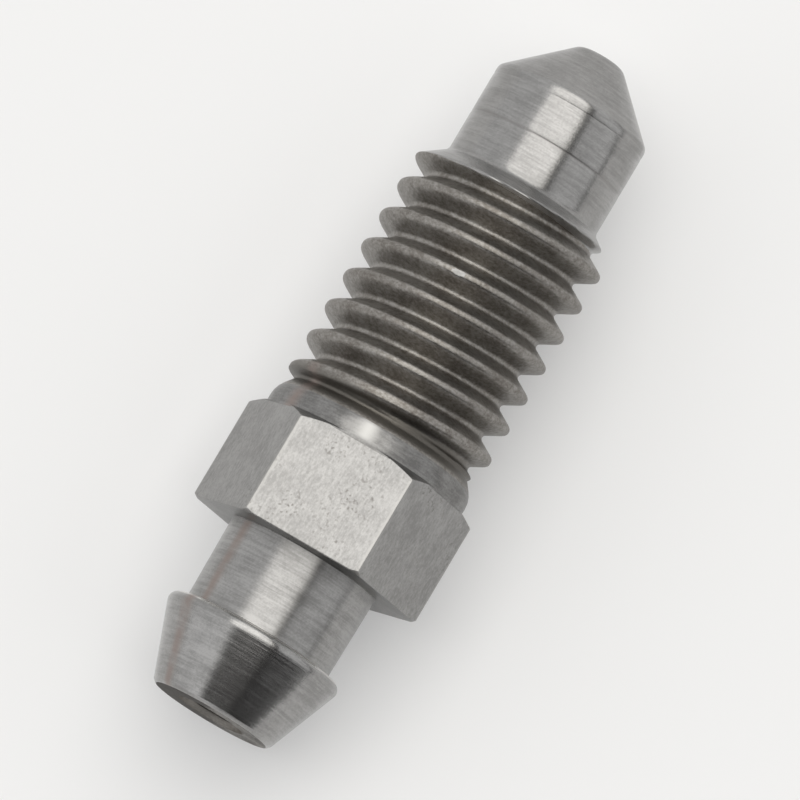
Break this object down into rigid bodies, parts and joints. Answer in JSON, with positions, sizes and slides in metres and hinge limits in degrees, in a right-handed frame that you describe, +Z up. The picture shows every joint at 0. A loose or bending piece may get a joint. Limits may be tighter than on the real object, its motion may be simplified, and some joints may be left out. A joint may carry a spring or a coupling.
{
  "type": "bleeder screw",
  "caption": "Bleeder screw: barbed hose nipple, hexagon, collar, right-hand thread, pilot with a cross hole and a seat cone, with a blind bore along its axis.",
  "frame": {"origin": "bottom centre of the bounding box: below the middle of the screw's length, on the surface that it lies on", "axes": "+X along the screw's axis towards the seat cone, +Z up out of the flat of the hexagon that it lies on, +Y across"},
  "size_m": [0.027, 0.009, 0.0078],
  "materials": {
    "steel": "satin, turned and rolled, with fine pits"
  },
  "bodies": {
    "root": {"bleeder_screw": "steel"}
  },
  "joints": []
}
